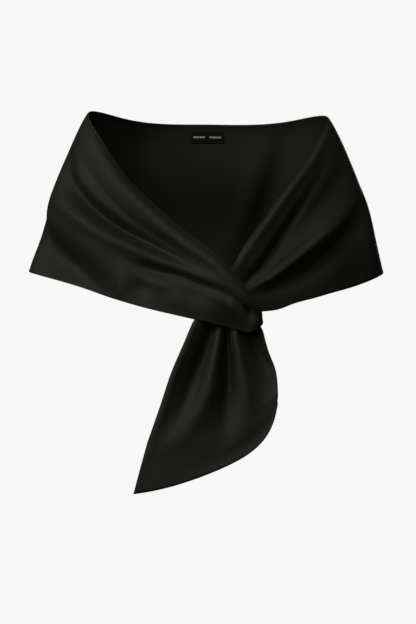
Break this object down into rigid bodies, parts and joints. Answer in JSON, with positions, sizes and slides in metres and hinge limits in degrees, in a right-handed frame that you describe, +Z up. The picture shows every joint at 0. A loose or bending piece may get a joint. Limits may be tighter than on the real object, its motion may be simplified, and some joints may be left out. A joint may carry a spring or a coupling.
{
  "type": "evening stole",
  "caption": "Black satin evening stole worn round the shoulders, one front drawn through a loop in the other and hanging as a pointed tail",
  "frame": {"origin": "midway between the tops of the two shoulders, where the wearer carries the stole", "axes": "+Z up, -Y the way the wearer faces, +X to the right as seen from the front"},
  "size_m": [0.5659, 0.3191, 0.6041],
  "materials": {
    "satin": "soft satin",
    "label": "matt woven"
  },
  "bodies": {
    "root": {"over_front": "satin", "back": "satin", "under_front": "satin", "tail": "satin", "label": "label"}
  },
  "joints": []
}
